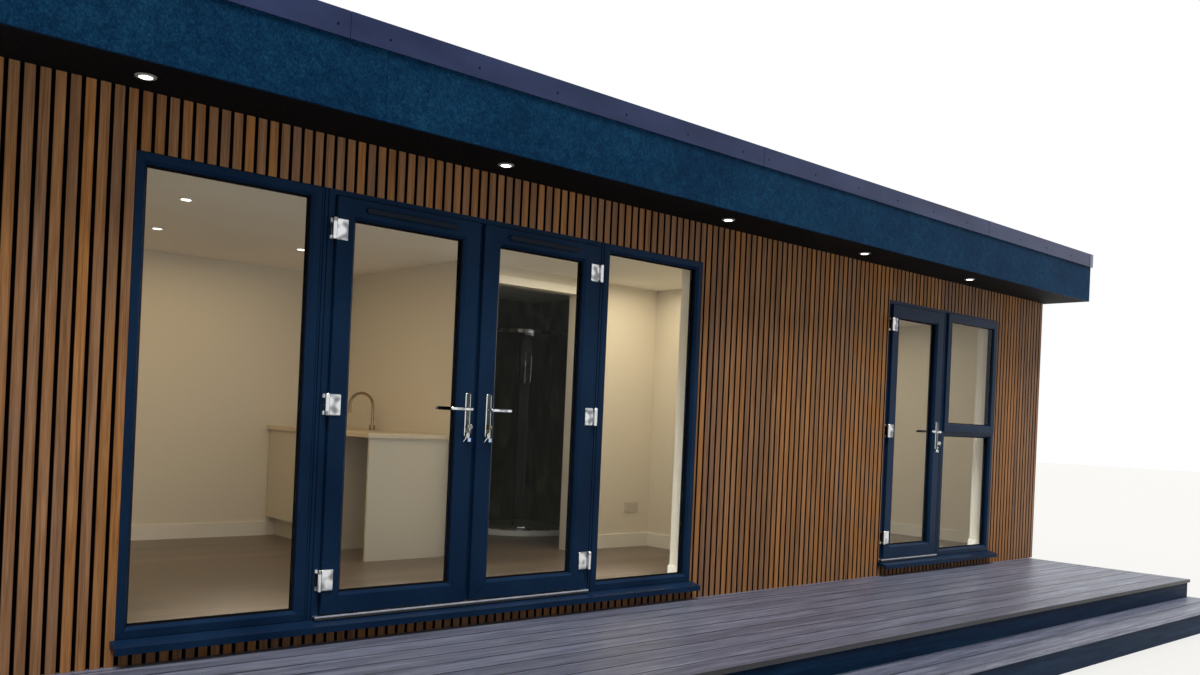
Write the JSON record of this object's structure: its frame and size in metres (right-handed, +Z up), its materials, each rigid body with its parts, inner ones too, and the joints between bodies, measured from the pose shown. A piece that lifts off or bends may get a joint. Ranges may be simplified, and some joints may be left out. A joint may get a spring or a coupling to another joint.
{
  "type": "garden annexe",
  "caption": "Flat-roofed garden annexe with slatted cladding, glazed French doors between side lights, a single door beside a window, a lit soffit and a timber deck with a step.",
  "frame": {"origin": "on the ground under the middle of the wall box", "axes": "+X right along the front, +Y into the building, +Z up"},
  "size_m": [9.184, 5.375, 3.166],
  "materials": {
    "base_timber": "rough treated timber",
    "insulated_panel": "sheathed panel, hidden",
    "laminate_floor": "grey-brown laminate boards, satin",
    "wall_paint": "matt off-white paint",
    "white_trim": "satin white paint",
    "slat_cladding": "brown wood-grain composite, matt",
    "roof_membrane": "matt dark membrane",
    "soffit_black": "matt black",
    "fascia_board": "mottled dark teal, matt",
    "roof_trim": "slate blue, satin",
    "downlight": "white rim with a lit lens",
    "deck_board": "charcoal wood-grain composite, matt",
    "navy_riser": "dark navy paint",
    "navy_frame": "navy blue, fine satin grain",
    "clear_glass": "clear sealed unit",
    "threshold": "mill finish",
    "chrome": "bright",
    "kitchen_front": "light grey-beige, satin",
    "worktop": "pale laminate, satin",
    "socket_white": "satin",
    "shower_white": "gloss white"
  },
  "bodies": {
    "building": {"base_frame": "base_timber", "floor_panel": "insulated_panel", "laminate_floor": "laminate_floor", "front_wall_piers": "wall_paint", "front_wall_rails": "wall_paint", "end_walls": "wall_paint", "back_wall": "wall_paint", "ceiling": "wall_paint", "front_cladding": "slat_cladding", "front_cladding_bands": "slat_cladding", "end_cladding": "slat_cladding", "back_cladding": "slat_cladding", "roof_deck": "roof_membrane", "soffit": "soffit_black", "fascia_boards": "fascia_board", "roof_trim": "roof_trim", "downlights": "downlight", "deck_boards": "deck_board", "step_treads": "deck_board", "deck_risers": "navy_riser", "deck_bearers": "base_timber", "deck_posts": "base_timber", "room_lights": "downlight", "fixed_frames": "navy_frame", "coupling_posts": "navy_frame", "window_sash": "navy_frame", "fixed_glass": "clear_glass", "door_frames": "navy_frame", "thresholds": "threshold", "sills": "navy_frame", "hinge_knuckles": "chrome", "partition_walls": "wall_paint", "architrave": "white_trim", "skirting": "white_trim", "kitchen_unit": "kitchen_front", "worktop": "worktop", "kitchen_tap": "chrome", "wall_socket": "socket_white", "shower_tray": "shower_white", "shower_screen": "clear_glass", "shower_rail": "chrome"},
    "left_door": {"left_leaf": "navy_frame", "left_glass": "clear_glass", "left_hardware": "chrome"},
    "left_handle": {"left_lever": "chrome"},
    "right_door": {"right_leaf": "navy_frame", "right_glass": "clear_glass", "right_hardware": "chrome"},
    "right_handle": {"right_lever": "chrome"},
    "single_door": {"single_leaf": "navy_frame", "single_glass": "clear_glass", "single_hardware": "chrome"},
    "single_handle": {"single_lever": "chrome"}
  },
  "joints": [
    {"name": "left_door_hinge", "type": "hinge", "parent": "building", "child": "left_door", "pos_m": [-2.762, -1.834, 1.46], "axis": [0, 0, -1], "range_deg": [0, 90]},
    {"name": "right_door_hinge", "type": "hinge", "parent": "building", "child": "right_door", "pos_m": [-1.076, -1.834, 1.46], "axis": [0, 0, 1], "range_deg": [0, 90]},
    {"name": "single_door_hinge", "type": "hinge", "parent": "building", "child": "single_door", "pos_m": [1.97, -1.834, 1.46], "axis": [0, 0, -1], "range_deg": [0, 90]},
    {"name": "left_handle_turn", "type": "hinge", "parent": "left_door", "child": "left_handle", "pos_m": [-1.9615, -1.785, 1.47], "axis": [0, -1, 0], "range_deg": [0, 35], "stiffness_Nm_per_rad": 2, "springref_deg": -28.65},
    {"name": "right_handle_turn", "type": "hinge", "parent": "right_door", "child": "right_handle", "pos_m": [-1.8285, -1.785, 1.47], "axis": [0, 1, 0], "range_deg": [0, 35], "stiffness_Nm_per_rad": 2, "springref_deg": -28.65},
    {"name": "single_handle_turn", "type": "hinge", "parent": "single_door", "child": "single_handle", "pos_m": [2.687, -1.785, 1.47], "axis": [0, -1, 0], "range_deg": [0, 35], "stiffness_Nm_per_rad": 2, "springref_deg": -28.65}
  ]
}
